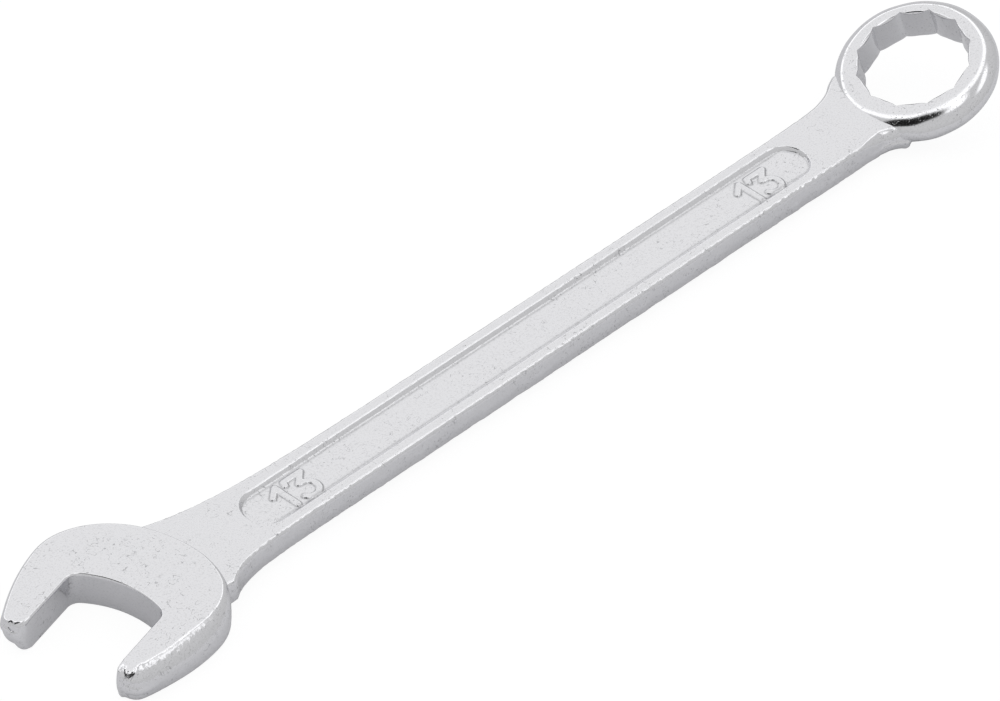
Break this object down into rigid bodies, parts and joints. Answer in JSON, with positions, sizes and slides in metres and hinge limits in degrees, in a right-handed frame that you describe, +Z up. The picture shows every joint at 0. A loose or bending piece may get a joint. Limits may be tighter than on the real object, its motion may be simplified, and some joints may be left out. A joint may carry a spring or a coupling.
{
  "type": "combination wrench",
  "caption": "Forged combination wrench with slanted open jaws at one end, a tilted multi-point ring at the other and a flat panelled shank, for turning hexagon nuts and bolts.",
  "frame": {"origin": "middle of the wrench's box, on the plane it lies on", "axes": "+X along the shank from the open end to the ring end, +Y across it towards the side that the jaws' back leans to, +Z up, out of the face that the ring is tilted towards"},
  "size_m": [0.1606, 0.0262, 0.0107],
  "materials": {
    "head_plating": "bright plating over forged steel, polished, with fine pits",
    "shank_plating": "bright plating over forged steel, with a fine orange-peel texture in the recessed panels"
  },
  "bodies": {
    "root": {"open_end_head": "head_plating", "shank": "shank_plating", "ring_end_head": "head_plating"}
  },
  "joints": []
}
